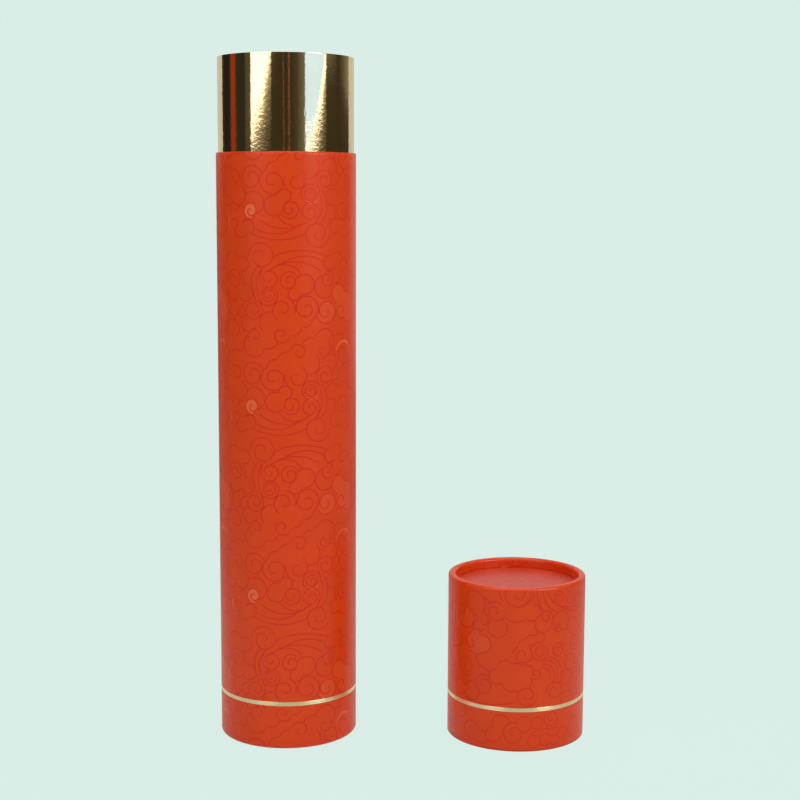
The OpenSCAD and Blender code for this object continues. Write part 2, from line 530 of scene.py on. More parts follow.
def gold_foil():
    """Metallised paper: a mirror with a fine orange peel and crinkles that come and go in patches."""
    n = surface("gold foil")
    gold = tuple(foil().gold)
    n.feed(Base_Color=n.mottle(70, 4, shade(gold, 0.93), gold))
    n.feed(Roughness=n.remap(n.noise(160, 5), 0.3, 0.75, 0.02, 0.05))
    patches = n.remap(n.noise(42, 2, 0.5), 0.40, 0.58, 0.55, 1.5)
    n.feed(Normal=n.bump(n.math("MULTIPLY", n.noise(620, 2, 0.6), patches), 1.0, 0.028 * MM))
    n.set(Metallic=1.0)
    return n.owner


def stamped_foil():
    """Hot-stamped foil: it follows the paper's grain, which blurs what it mirrors up and down the wall."""
    n = surface("stamped foil")
    gold = tuple(foil().stripe)
    n.feed(Base_Color=n.mottle(420, 4, shade(gold, 0.95), gold))
    n.feed(Roughness=n.vary(300, 4, 0.30, 0.34))
    n.feed(Tangent=n.add("ShaderNodeTangent", direction_type="RADIAL", axis="Z").outputs["Tangent"])
    n.set(Metallic=1.0, Anisotropic=0.9, Anisotropic_Rotation=0.25)
    return n.owner


BOARD_DARK = (0.27, 0.215, 0.155)
BOARD_LIGHT = (0.40, 0.335, 0.25)
BOARD_SPECK = (0.13, 0.105, 0.08)
LINING_DIM = (0.74, 0.71, 0.64)
LINING_WHITE = (0.83, 0.81, 0.75)


def greyboard():
    """Wound recycled board: mottled fibres and dark specks."""
    n = surface("greyboard")
    fibre = n.remap(n.noise(900, 6, 0.7), 0.3, 0.7, 0, 1)
    speck = n.remap(n.noise(2600, 2), 0.62, 0.70, 0, 0.6)
    board = n.mix(fibre, BOARD_DARK, BOARD_LIGHT)
    n.feed(Base_Color=n.mix(speck, board, BOARD_SPECK))
    n.feed(Roughness=n.remap(fibre, 0, 1, 0.82, 0.95))
    n.feed(Normal=n.bump(n.noise(1500, 5), 0.35, 0.1 * MM))
    return n.owner


def lining_paper():
    """Uncoated white lining: soft fibres and faint cockling."""
    n = surface("lining paper")
    fibre = n.vary(700, 5, 0, 1)
    n.feed(Base_Color=n.mix(fibre, LINING_DIM, LINING_WHITE))
    n.feed(Roughness=n.remap(fibre, 0, 1, 0.7, 0.85))
    fine = n.bump(n.noise(1600, 5), 0.2, 0.06 * MM)
    n.feed(Normal=n.bump(n.noise(60, 2), 0.15, 0.4 * MM, fine))
    return n.owner


# A lobe of the cloud print, in millimetres and degrees: turn is +1 or -1 for a scroll that winds in
# that way from start, and 0 for a plain lobe. Plain outlines join into one outline within a bank.
Lobe = namedtuple("Lobe", "x y r bank start turn tint", defaults=(0, 0, 0.0))

# The tube's motif, from its middle. Later lobes lie in front. A tint above a half shows on the
# turned motif only, and a fainter one on the upright motif only.
LOBES = (
    (-38.4, 13.6, 3.8, 3), (-32, 17, 5.2, 3), (-24.2, 16.4, 3.8, 3), (-38.8, 2.4, 4.2, 3),
    (-22.4, 1.4, 4.4, 3), (-30.4, 1, 4, 3), (-30.6, 8.4, 6.8, 3), (-30.6, 8.2, 4.9, 4, 180, -1),
    (-37.6, -5.8, 4.4, 5, 200, -1), (-34.2, -26, 4.4, 6), (-27, -24.6, 4.6, 6), (-34.6, -13.8, 4.2, 6),
    (-26.6, -13.6, 3.8, 6), (-31, -18.6, 7.3, 6, 20, -1), (-22.8, -8.6, 4.2, 7), (-20.6, -14.2, 4.6, 1),
    (-17.4, -25.8, 6.2, 1), (-9, -22.8, 4.8, 1), (-16.6, -20.8, 5, 1, 70, -1), (-8.2, -14, 5.8, 1),
    (-17.4, -7.4, 4.9, 8, 15, -1), (3.2, -15.2, 5.4, 1), (-2.6, -20, 4.7, 1, 130, -1),
    (9.8, -12.2, 4.2, 1), (10.9, -6.6, 6.5, 1, -70, 1), (-1.6, -6.8, 6.4, 1, 80, -1), (4.6, 1, 3.4, 0),
    (9.8, 6, 5.2, 0), (1.8, 8, 4.6, 0, 33, 1), (39.6, 9.4, 3.8, 2), (29.2, 18.4, 4.2, 2),
    (24.4, 17, 3.6, 2), (28.6, 10.2, 4, 2), (34.4, 14.6, 5.2, 2, 160, 1), (21.4, 4.6, 6, 2),
    (22.8, 8.8, 4.1, 9, 100, -1, 1), (31, 0.6, 5, 10, 0, 0, 0.18), (38, -3, 4.6, 10, 0, 0, 0.18),
    (38.6, -10.2, 4.2, 10, 0, 0, 0.18), (33.2, -8.2, 4.9, 10, 150, -1, 0.18),
    (22, -8.4, 6.1, 10, 200, 1, 0.22), (-9.2, 9.2, 4.8, 11, 170, 1), (-9.4, 0.2, 5.2, 12, 190, 1),
    (-9.4, 0.4, 3.4, 13, 190, 1), (-13.4, 20.6, 6.8, 14, 180, -1),
)
# Sweeping strands behind the lobes, each a cubic curve through its four control points
SWEEPS = (
    ((-14, 9.6), (-12, 20), (2, 28.4), (23.2, 20.2)), ((-2, 16.6), (5, 21.8), (14, 22), (21.6, 16.8)),
    ((-5.2, 15.4), (2, 19), (11, 18.6), (18.8, 12.6)), ((-8.8, 13), (-3.5, 17.6), (5, 17.4), (8, 10.8)),
    ((-11, 16), (-22, 14.5), (-18.8, 2), (-15.4, -3.4)),
    ((-12, 14.4), (-17.6, 9), (-16, 2), (-12.4, -3.6)),
    ((-14.6, -1.6), (-12.4, -5), (-12.4, -8), (-14.4, -11.2)),
)
# x, y, radius, start and span of each light crescent
CRESCENTS = (
    (-9.4, 0.4, 5.2, 40, 110), (-31, -18.6, 7.3, 150, 200), (34.4, 14.6, 5.2, -40, 130),
)
# The cap's own cloud print, from the middle of its tile and from the cap's mouth up
CAP_LOBES = (
    (-50, 12, 6, 1), (-54, 31, 6.4, 2, 60, 1), (-47, 22, 5, 1), (-52, 52, 6.2, 3, 20, -1),
    (-45, 58, 4.6, 3), (-50, 74, 6, 4), (-56, 80, 5.4, 4, 130, 1), (-41, 81, 5.6, 5), (-42, 68, 5, 5),
    (52, 66, 6, 6), (54, 50, 5.8, 6, 150, 1), (49, 32, 6, 7), (53, 16, 6.2, 7, 40, -1),
    (50, 88, 6.4, 8, 90, 1), (-30, 94, 5.6, 9, 210, 1), (-18.5, 88, 5.4, 9), (-11, 85.6, 3.8, 9),
    (-6.4, 82.8, 3.4, 9), (-20.6, 79.4, 6.8, 10), (-26.6, 70.6, 5.6, 11, 0, 0, 0.12),
    (-30.6, 74.2, 3, 12, 250, 1), (-15.4, 71.6, 3.4, 10), (-18.2, 66.8, 3.2, 10), (-6.6, 67.8, 5.4, 13),
    (3.2, 78.6, 7.4, 13), (12, 76.6, 4.6, 13), (8.6, 80.4, 3, 13), (-8.2, 76.4, 5.4, 13, 150, -1),
    (3.6, 87.6, 9.2, 13), (4, 86.8, 7.2, 14, 40, -1), (-19.6, 62.6, 2.8, 15, 0, 0, 0.14),
    (-14.8, 57.8, 4.6, 15, 0, 0, 0.2), (-18.6, 54.6, 3.2, 15, 0, 0, 0.2), (-33.4, 57.6, 4.8, 16, 70, 1),
    (-22.6, 57.6, 4.9, 15, 250, 1, 0.16), (-37, 47, 5, 17), (-31, 31, 4.2, 18, 0, 0, 0.12),
    (-38, 36, 4.6, 18, 200, -1), (-25.6, 43.4, 5.2, 17, 300, -1), (-22, 30.6, 5, 18),
    (-14, 35.6, 5.4, 19, 60, 1), (-31, 18.4, 4.6, 20, 0, 0, 0.1), (-38, 10, 5.2, 20, 20, 1),
    (-22, 9, 5, 21), (-15.4, 6.2, 3.8, 21), (-6.8, 40.8, 4.2, 22), (-2, 46, 4.2, 22), (4.4, 44.8, 4, 22),
    (9.6, 44.4, 3.4, 22), (1.6, 38.6, 5.6, 22), (7.6, 38.4, 4.6, 22), (14.2, 43, 3, 22, 120, 1),
    (10, 31, 5.6, 23, 20, -1), (18.4, 70.2, 5, 24), (29.4, 70.4, 5.4, 24), (20.2, 73.6, 3.4, 24, 300, 1),
    (27.2, 66.4, 2.4, 25, 200, -1), (38.4, 66.4, 4.4, 25), (41, 57, 4.6, 26, 30, -1),
    (16.4, 62.6, 2.8, 27), (11.6, 61.2, 3, 27), (7.6, 59.4, 2.4, 27), (16.8, 54.4, 4.5, 28, 200, 1),
    (7, 53.4, 5.2, 27, 170, -1), (28.2, 54.8, 3.8, 29, 20, 1), (36.6, 46.6, 4.2, 30),
    (42, 40, 4.6, 30, 150, -1), (34, 38.6, 4, 30), (25.4, 32.2, 5.1, 31, 190, -1), (35, 26, 5, 31),
    (27.4, 83.4, 3.4, 32, 160, -1), (36.6, 83.4, 4.7, 33, 120, -1), (44.6, 79, 4, 33),
    (20, 95, 5.6, 34, 40, -1), (-10, 96.4, 5, 34), (-4, 15.2, 4.8, 35), (-8.6, 8.4, 4.2, 35),
    (8, 14.8, 4.4, 35), (2.9, 10.2, 5.7, 36, 60, 1), (13.8, 5.4, 3.4, 37), (20.6, 6, 3.4, 37),
    (26.2, 5.2, 2.8, 37), (32, 8.6, 3.8, 37, 30, -1), (41, 9.4, 5, 38), (24, 17.6, 4.4, 39, 140, 1),
    (15.4, 15.6, 3.4, 39),
)
CAP_SWEEPS = (
    ((14.4, 90), (14.2, 80), (18, 76.6), (22, 75.2)), ((17.4, 90), (18, 79), (24, 75.4), (33, 74.2)),
    ((20, 90), (20.2, 82.4), (28, 76.4), (44, 73.2)), ((22.6, 82.6), (26, 78.4), (33, 77.2), (46, 75.8)),
    ((18.6, 49.6), (24.6, 50.6), (28.4, 45.6), (27.6, 38.4)),
    ((17.6, 47.8), (23, 48.6), (26, 44), (25.2, 38.6)),
    ((17.2, 45.8), (21.4, 46.2), (23.4, 42.6), (22.8, 38.8)),
    ((22, 51.4), (29.6, 50), (31.6, 42), (29.4, 36)), ((-19.4, 51), (-18.8, 46), (-15, 44.6), (-9.6, 43)),
    ((-28, 26.6), (-20, 24), (-6, 24.4), (4, 27.6)), ((-24, 24), (-14, 21.4), (0, 22), (12, 25.4)),
    ((12, 9.8), (18, 12.4), (24, 12), (29, 11.4)),
)
CAP_CRESCENTS = (
    (-30.4, 74.6, 5.6, -35, 60), (-30.6, 74.2, 3, 150, 100),
)

# Height of a tile, and the places of the two motifs in the tube's: offset from its middle, height,
# and 1 for upright or -1 for turned half round
TILE_H = 102.0
MOTIFS = ((2, 26.5, -1), (-2, 76.0, 1))
BANKS = 20
BOLD_TINT = 0.5

# A scroll keeps its radius for the hold, in degrees, and then winds in over the rest of its turns
SCROLL_HOLD = 190.0
SCROLL_TURNS = 1.6
# Spacing of a stroke's points and of a tint's rings, and how far inside a lobe a hidden line ends
STEP = 0.9
TUCK = 0.1
SWEEP_POINTS = 60
CRESCENT_POINTS = 24
CRESCENT_INSET = 1.05
# Bare margin of the print at a sheet's ends
INK_MARGIN = 0.4 * MM
# Heights of the three points across a line, as shares of its lift, and the crescents' share of it
RIDGE = np.array([[0.6, 1.0, 0.6]])
CRESCENT_LIFT = 0.7
TINT_LIFT = 0.012 * MM
TINT_POINTS = 61
TINT_HOLE = 0.02


# A repeating print: its width in millimetres, its number round the sheet, and what is drawn in it
Tile = namedtuple("Tile", "w columns lobes sweeps arcs")


def base_tile():
    """The tube's tile, with its motif once turned half round and once upright."""
    columns = printing().base_columns
    width = TAU * BASE_R / columns / MM
    lobes = []
    sweeps = []
    arcs = []
    for half, (offset, rise, sign) in enumerate(MOTIFS):
        middle = width / 2 + offset
        turned = 0 if sign > 0 else 180
        for lobe in (Lobe(*row) for row in LOBES):
            tint = lobe.tint if (lobe.tint > BOLD_TINT) == (sign < 0) else 0.0
            lobes.append(Lobe(middle + sign * lobe.x, rise + sign * lobe.y, lobe.r,
                              BANKS * half + lobe.bank, lobe.start + turned, lobe.turn, tint))
        sweeps += [np.array(curve) * sign + (middle, rise) for curve in SWEEPS]
        if turned:
            arcs += [(middle + sign * x, rise + sign * y, r, start + turned, span)
                     for x, y, r, start, span in CRESCENTS]
    return Tile(width, columns, lobes, sweeps, arcs)


def cap_tile():
    """The cap's tile."""
    columns = printing().cap_columns
    lobes = [Lobe(*row) for row in CAP_LOBES]
    sweeps = [np.array(curve) for curve in CAP_SWEEPS]
    return Tile(TAU * CAP_R / columns / MM, columns, lobes, sweeps, CAP_CRESCENTS)


def scroll_radius(s, r):
    """Radius of a scroll after s degrees: it holds r for SCROLL_HOLD, then winds in to a fifth."""
    t = np.clip((s - SCROLL_HOLD) / (360 * SCROLL_TURNS - SCROLL_HOLD), 0, 1)
    return r * (1 - 0.8 * t ** 0.85)


def lobe_line(lobe, s):
    """Radius and bearing of a lobe's line after s degrees from its start."""
    radius = scroll_radius(s, lobe.r) if lobe.turn else np.full(s.shape, lobe.r)
    return radius, np.radians(lobe.start + (lobe.turn or 1) * s)


def within(tile, x, y, lobe):
    """Whether points lie inside a lobe of the repeating tile, a scroll reaching to its outer turn."""
    dx = (x - lobe.x + tile.w / 2) % tile.w - tile.w / 2
    dy = (y - lobe.y + TILE_H / 2) % TILE_H - TILE_H / 2
    d = np.hypot(dx, dy)
    if lobe.turn == 0:
        return d < lobe.r - TUCK
    s = ((np.degrees(np.arctan2(dy, dx)) - lobe.start) * lobe.turn) % 360
    return d < scroll_radius(s, lobe.r) - TUCK


def seen_runs(x, y, seen):
    """Unbroken runs of seen points, each of four or more."""
    index = np.flatnonzero(seen)
    groups = np.split(index, np.flatnonzero(np.diff(index) > 1) + 1)
    return [np.stack([x[g], y[g]], -1) for g in groups if len(g) > 3]


def tile_strokes(tile):
    """Lines of one tile in millimetres: lobes drawn back to front, each hidden by those before it.

    A plain lobe is a circle and a scroll an inward spiral. A sweep is a cubic curve, the sum of
    its control points weighted by the powers of u and 1 - u, behind all the lobes.
    """
    strokes = []
    for i, lobe in enumerate(tile.lobes):
        reach = 360 * SCROLL_TURNS if lobe.turn else 360
        s = np.linspace(0, reach, int(reach / 360 * TAU * lobe.r / STEP) + 2)
        radius, bearing = lobe_line(lobe, s)
        x = lobe.x + radius * np.cos(bearing)
        y = lobe.y + radius * np.sin(bearing)
        outline = (s < SCROLL_HOLD) | (lobe.turn == 0)
        seen = np.ones(s.shape, bool)
        for j, other in enumerate(tile.lobes):
            if j > i:
                seen &= ~within(tile, x, y, other)
            elif j < i and other.bank == lobe.bank:
                seen &= ~(within(tile, x, y, other) & outline)
        strokes += seen_runs(x, y, seen)
    u = np.linspace(0, 1, SWEEP_POINTS)[:, None]
    for q in tile.sweeps:
        path = (1 - u) ** 3 * q[0] + 3 * (1 - u) ** 2 * u * q[1] + 3 * (1 - u) * u * u * q[2] + u ** 3 * q[3]
        seen = np.ones(len(path), bool)
        for other in tile.lobes:
            seen &= ~within(tile, path[:, 0], path[:, 1], other)
        strokes += seen_runs(path[:, 0], path[:, 1], seen)
    return strokes


def crescents(tile):
    """Light crescents just inside some scrolls' outer turns."""
    strokes = []
    for x, y, r, start, span in tile.arcs:
        bearing = np.radians(start + np.linspace(0, span, CRESCENT_POINTS))
        inner = r - CRESCENT_INSET
        strokes.append(np.stack([x + inner * np.cos(bearing), y + inner * np.sin(bearing)], -1))
    return strokes


class Layout:
    """How the tile lies on a sheet."""

    def __init__(self, sheet, tile, turn, rise):
        self.sheet = sheet
        self.tile = tile
        self.turn = turn
        self.rise = rise / MM

    def to_sheet(self, x, y):
        """Tile millimetres to (bearing, distance): up the object is up the tile."""
        a = self.turn + x / self.tile.w * TAU / self.tile.columns
        height = (y + self.rise) * MM
        s = height if self.sheet.rise > 0 else self.sheet.wall - height
        return a, s

    def rows(self):
        """The tile's rows that reach the sheet, and one more at each end."""
        ends = np.array([INK_MARGIN, self.sheet.length - INK_MARGIN])
        reach = self.sheet.wall - ends if self.sheet.rise < 0 else ends
        reach = (reach / MM - self.rise) // TILE_H
        return range(int(reach.min()) - 1, int(reach.max()) + 2)


def layouts():
    """How each sheet is printed."""
    p = printing()
    s = sheets()
    return {
        "base": Layout(s["base"], base_tile(), p.base_turn, p.base_rise),
        "cap": Layout(s["cap"], cap_tile(), p.cap_turn, p.cap_rise),
    }


class Printed:
    """Grids of ink laid on a sheet, gathered into one piece."""

    def __init__(self, layout):
        self.sheet = layout.sheet
        self.verts = []
        self.faces = []
        self.uvs = []
        self.count = 0

    def lay(self, a, s, lift, flip):
        """Lay the grid of (a, s) at a height above the paper."""
        self.verts.append(self.sheet.points(a, s, lift).reshape(-1, 3))
        self.faces.append(grid_faces(*a.shape, False, False, flip) + self.count)
        self.uvs.append(np.stack([(a / TAU) % 1.0, s / self.sheet.length], -1).reshape(-1, 2))
        self.count += a.size

    def piece(self, name, body, material):
        return new_mesh(name, np.concatenate(self.verts), self.faces, body, material,
                        np.concatenate(self.uvs))


# Rows of the printed paper: their spacing up the wall, and their number over each bend, over the
# land and down the lip. Columns run round it, with a few close together at the lap's free edge.
WALL_STEP = 1.5 * MM
BEND_ROWS = 9
LAND_ROWS = 3
LIP_ROWS = 10
INNER_ROWS = 4
COLUMNS = 360
LAP_EDGE = np.array([-0.02, 0, 0.22, 0.34]) * MM
LAP_WEAR = 0.24
# Width over which painted shade deepens the lip's red towards its crease at the disc
CREASE_SHADE_W = 1.9 * MM
# A rubbed spot on the cap's lip: its bearing from the lap, its height above the paper's cut edge,
# its half width and half height, and the most that it bares
SPOT_TURN = 0.19
SPOT_UP = 0.2 * MM
SPOT_W = 1 / 15
SPOT_H = 0.6 * MM
SPOT_WEAR = 0.36


def wrap_piece(name, key, body):
    """The printed paper as a closed shell: a grid over (a, s), backed by the same profile inset."""
    sheet = sheets()[key]
    p = paper()
    k = sheet.knots
    wall_rows = np.linspace(0, k[1], int(k[1] / WALL_STEP) + 1)
    counts = (BEND_ROWS, LAND_ROWS, BEND_ROWS, LIP_ROWS)
    turn_rows = np.concatenate([np.linspace(k[i + 1], k[i + 2], n)[1:] for i, n in enumerate(counts)])
    s_out = np.concatenate([wall_rows, turn_rows])
    s_in = np.concatenate([np.linspace(0, k[1], INNER_ROWS), turn_rows[::2]])
    round_rows = np.linspace(0, TAU, COLUMNS, endpoint=False)[1:]
    a = p.seam_a + np.concatenate([LAP_EDGE / sheet.radius, round_rows])
    outer = sheet.points(a[None, :], s_out[:, None])
    inner = sheet.points(a[None, :], s_in[::-1][:, None], inset=p.paper_t, relief=False)
    verts = np.concatenate([outer, inner])
    rows, columns = verts.shape[:2]
    v = np.concatenate([s_out / sheet.length * 0.97, 0.975 + 0.025 * np.linspace(0, 1, len(s_in))])
    faces = [grid_faces(rows, columns, True, True, sheet.rise < 0)]
    obj = new_mesh(name, verts, faces, body, MATERIALS["printed paper"], grid_uv(columns, v))
    obj.data.materials.append(MATERIALS["turned paper"])
    obj.data.materials.append(MATERIALS["paper core"])
    last = len(s_out) - 1
    index = np.zeros((rows, columns), np.int32)
    index[len(wall_rows) - 1:last] = 1
    index[[last, -1]] = 2
    obj.data.polygons.foreach_set("material_index", index.ravel())
    wear_and_crease_shade = np.zeros((rows, columns))
    # Painted shade: the last stretch of the lip darkens into the crease at the disc. The lap's edge and the
    # rubbed spot are real wear that bares the core.
    wear_and_crease_shade[:last + 1] = -np.clip((s_out - k[5]) / CREASE_SHADE_W + 1, 0, 1)[:, None]
    wear_and_crease_shade[:last + 1, :3] = LAP_WEAR
    if key == "cap":
        across = (a[None, :] - p.seam_a - SPOT_TURN) / SPOT_W
        spot = np.hypot(across, (s_out[:, None] - k[5] + SPOT_UP) / SPOT_H)
        wear_and_crease_shade[:last + 1] = np.maximum(wear_and_crease_shade[:last + 1], np.clip(1.1 - spot, 0, SPOT_WEAR))
    paint(obj, "wear_and_crease_shade", wear_and_crease_shade)
    return obj


def line_piece(name, key, body, strokes, width, lift, material):
    """Printed strokes: each a low ridge of ink three points across, laid on the sheet.

    width works out a stroke's full width from the run along it and its whole length. A stroke is
    cut where it leaves the sheet, and repeats round and up with the tile.
    """
    layout = layouts()[key]
    sheet = layout.sheet
    unit = layout.tile
    printed = Printed(layout)
    turned = []
    ridge = RIDGE * lift
    for stroke in strokes:
        step = np.gradient(stroke, axis=0)
        step /= np.linalg.norm(step, axis=1)[:, None] + 1e-9
        across = np.stack([-step[:, 1], step[:, 0]], -1)
        run = np.concatenate([[0], np.cumsum(np.linalg.norm(np.diff(stroke, axis=0), axis=1))])
        side = across * width(run, run[-1])[:, None] / 2
        rails = np.stack([stroke - side, stroke, stroke + side], 1)
        for row in layout.rows():
            _, s_mid = layout.to_sheet(stroke[:, 0], stroke[:, 1] + row * TILE_H)
            keep = (s_mid > INK_MARGIN) & (s_mid < sheet.length - INK_MARGIN)
            for g in np.split(np.arange(len(keep)), np.flatnonzero(np.diff(keep.astype(int))) + 1):
                if len(g) < 3 or not keep[g[0]]:
                    continue
                for column in range(unit.columns):
                    a, s = layout.to_sheet(rails[g, :, 0] + column * unit.w, rails[g, :, 1] + row * TILE_H)
                    printed.lay(a, s, ridge, sheet.rise > 0)
                    turned.append(np.repeat(s[:-1, 1] > sheet.knots[1], 2))
    obj = printed.piece(name, body, material)
    obj.data.materials.append(MATERIALS["turned line"])
    if material is MATERIALS["cloud line"]:
        obj.data.polygons.foreach_set("material_index", np.concatenate(turned).astype(np.int32))
    return obj


def even_width(run, total):
    """A printed line: even, with softly thinned ends."""
    end = np.minimum(run, total - run)
    return printing().line_w / MM * (0.62 + 0.38 * np.clip(end / 1.2, 0, 1))


def crescent_width(run, total):
    """A crescent: swells to its middle and comes to points."""
    return 0.12 + 1.1 * np.sin(np.pi * run / total) ** 0.8


def tint_piece(name, key, body):
    """Light scrolls: each a fan of rings out to the scroll's own outline, under the lines."""
    layout = layouts()[key]
    sheet = layout.sheet
    unit = layout.tile
    printed = Printed(layout)
    tones = []
    s = np.linspace(0, 360, TINT_POINTS)
    for lobe in unit.lobes:
        if lobe.tint == 0:
            continue
        edge, bearing = lobe_line(lobe, s)
        rings = np.linspace(TINT_HOLE, 1, int(lobe.r / STEP) + 2)[:, None]
        px = lobe.x + rings * edge * np.cos(bearing)
        py = lobe.y + rings * edge * np.sin(bearing)
        for row in layout.rows():
            for column in range(unit.columns):
                a, d = layout.to_sheet(px + column * unit.w, py + row * TILE_H)
                if d.min() < INK_MARGIN or d.max() > sheet.length - INK_MARGIN:
                    continue
                printed.lay(a, d, TINT_LIFT, (lobe.turn or 1) * sheet.rise > 0)
                tones.append(np.full(px.size, lobe.tint))
    obj = printed.piece(name, body, MATERIALS["cloud tint"])
    paint(obj, "tone", np.concatenate(tones))
    return obj


STRIPE_COLUMNS = 480
# A stripe's rows in from each edge, and how high each row of it stands: its edges are rounded off
STRIPE_ROWS = np.array([0, 0.15, 0.2]) * MM
STRIPE_LIFTS = np.array([0.4, 1.0, 1.0, 1.0, 1.0, 0.4]) * 0.03 * MM
STRIPE_BED = 0.005 * MM


def stripe_piece(name, key, body, box):
    """Stamped stripe: a thin closed band that follows the paper and steps up over its lap."""
    sheet = sheets()[key]
    lo, hi = box
    round_rows = np.linspace(0, TAU, STRIPE_COLUMNS, endpoint=False)
    a = paper().seam_a + np.concatenate([LAP_EDGE[:1] / sheet.radius, round_rows])
    height = np.concatenate([lo.z + STRIPE_ROWS, hi.z - STRIPE_ROWS[::-1]])
    s = height if sheet.rise > 0 else sheet.wall - height
    outer = sheet.points(a[None, :], s[:, None], STRIPE_LIFTS[:, None])
    inner = sheet.points(a[None, :], s[::-1][:, None], STRIPE_BED)
    verts = np.concatenate([outer, inner])
    rows, columns = verts.shape[:2]
    faces = [grid_faces(rows, columns, True, True)]
    uv = grid_uv(columns, np.linspace(0, 1, rows))
    return new_mesh(name, verts, faces, body, MATERIALS["stamped foil"], uv)


# Rings of a disc cover, from its rim in, as shares of its radius, and the depth of its pressed dish
DISC_RINGS = np.array([1.0, 0.99, 0.975, 0.95, 0.9, 0.8, 0.65, 0.5, 0.35, 0.2, 0.08])
DISH = 0.12 * MM
DISC_COLUMNS = 180
# Painted shade of the rim's crease starts at this share of the radius
RIM_SHADE_FROM = 0.95


def disc_piece(name, box, x, face_up, body):
    """A disc cover with a very shallow pressed dish: rings of points from the rim to the middle.

    The dish is a parabola, as deep as DISH in the middle. In the UV the face fills the square
    and the back a small corner of it.
    """
    lo, hi = box
    radius = (hi.x - lo.x) / 2
    face, back = (hi.z, lo.z) if face_up else (lo.z, hi.z)
    deepest = (hi.z - lo.z) * 0.6
    sink = np.clip(DISH * (1 - DISC_RINGS ** 2), 0, deepest) * (-1 if face_up else 1)
    r = np.concatenate([DISC_RINGS[:1], DISC_RINGS]) * radius
    z = np.concatenate([[back], face + sink])
    a = np.linspace(0, TAU, DISC_COLUMNS, endpoint=False)
    grid = np.stack([x + r[:, None] * np.cos(a), r[:, None] * np.sin(a), z[:, None] + 0 * a], -1)
    rows, columns = grid.shape[:2]
    verts = np.concatenate([grid.reshape(-1, 3), [[x, 0, z[-1]], [x, 0, back]]])
    j = np.arange(columns)
    j2 = (j + 1) % columns
    last = (rows - 1) * columns
    top = np.stack([last + j, last + j2, np.full(columns, rows * columns)], -1)
    under = np.stack([j2, j, np.full(columns, rows * columns + 1)], -1)
    order = 1 if face_up else -1
    faces = [grid_faces(rows, columns, True, False, not face_up), top[:, ::order], under[:, ::order]]
    flat = (verts[:, :2] - (x, 0)) / (2.1 * radius) + 0.5
    flat[:columns] *= 0.02
    flat[-1] = 0.01
    obj = new_mesh(name, verts, faces, body, MATERIALS["disc paper"], flat)
    # Painted shade: the edge attribute darkens the face towards the crease at its rim
    rim_shade = np.zeros(len(verts))
    rim = np.clip((r / radius - RIM_SHADE_FROM) / (1 - RIM_SHADE_FROM), 0, 1)
    rim_shade[:rows * columns] = np.repeat(rim, columns)
    paint(obj, "edge", rim_shade)
    return obj


# The foil paper starts to breathe this far below the tube's rim, by this much in and out of round
NECK_HIDDEN = 2 * MM
NECK_WAVE = 0.003 * MM
NECK_COLUMNS = 481


def neck_piece():
    """The neck's foil paper: a thin shell open at the butt seam, its wall breathing a few microns.

    The breathing is two sine waves that run round and up the wall, taken off the radius so that
    the wall stays within the neck's own.
    """
    f = foil()
    gap = f.seam_w / NECK_R
    a = paper().seam_a + gap + np.linspace(0, TAU - gap, NECK_COLUMNS)
    shown = BASE_HI.z - NECK_HIDDEN
    edge = NECK_HI.z - np.array([0.06, 0.015]) * MM
    z_out = np.concatenate([np.linspace(NECK_LO.z, shown, 8), np.linspace(shown, edge[0], 70)[1:], edge[1:]])
    z_in = np.linspace(NECK_HI.z, NECK_LO.z, 4)
    z_col = z_out[:, None]
    wave = NECK_WAVE * (np.sin(9 * a + 40 * z_col) + np.sin(17 * a - 95 * z_col))
    r_out = np.where(z_col > shown, NECK_R - 2 * NECK_WAVE + wave, NECK_R) + 0 * a
    r_top = np.full((2, len(a)), NECK_R) - np.array([[0.015], [0.03]]) * MM
    r_in = np.full((len(z_in), len(a)), NECK_R - f.foil_t)
    r = np.concatenate([r_out, r_top, r_in])
    z = np.concatenate([z_out, [NECK_HI.z, NECK_HI.z], z_in])[:, None] + 0 * a
    verts = np.stack([BASE_X + r * np.cos(a), r * np.sin(a), z], -1)
    rows, columns = verts.shape[:2]
    first = np.arange(rows) * columns
    faces = [grid_faces(rows, columns, False, True), [first[::-1]], [first + columns - 1]]
    height = (z_out - NECK_LO.z) / (NECK_HI.z - NECK_LO.z)
    v = np.concatenate([height * 0.95, np.linspace(0.955, 1, len(z_in) + 2)])
    piece = new_mesh("neck_foil_paper", verts, faces, "tube", MATERIALS["gold foil"],
                     grid_uv(columns, v))
    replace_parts(piece, "neck_foil")


MATERIALS = {}


def dress(node, material):
    """Give a CAD node one of the materials."""
    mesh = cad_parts[node].data
    mesh.materials.clear()
    mesh.materials.append(MATERIALS[material])


class GIFT_TUBE_OT_materials(bpy.types.Operator):
    """Make the papers, foils, inks and board"""

    bl_idname = "gift_tube.materials"
    bl_label = "Materials"

    def execute(self, context):
        line = tuple(printing().line)
        MATERIALS.update({
            "printed paper": printed_paper("printed paper", 0),
            "turned paper": printed_paper("turned paper", 1),
            "cloud line": ink("cloud line", line),
            "turned line": ink("turned line", line, 1),
            "cloud crescent": ink("cloud crescent", tuple(printing().light)),
            "cloud tint": tinted_ink(),
            "disc paper": plain_paper(),
            "paper core": cut_paper(),
            "gold foil": gold_foil(),
            "stamped foil": stamped_foil(),
            "greyboard": greyboard(),
            "lining paper": lining_paper(),
        })
        return {"FINISHED"}


class GIFT_TUBE_OT_boards(bpy.types.Operator):
    """Finish the board tubes, the pressed discs and the lining papers"""

    bl_idname = "gift_tube.boards"
    bl_label = "Boards and linings"

    def execute(self, context):
        for node in ("base_tube", "base_disc", "neck_tube", "cap_tube", "cap_disc"):
            dress(node, "greyboard")
        for node in ("base_floor_paper", "neck_lining", "cap_ceiling_paper", "cap_lining"):
            dress(node, "lining paper")
        return {"FINISHED"}


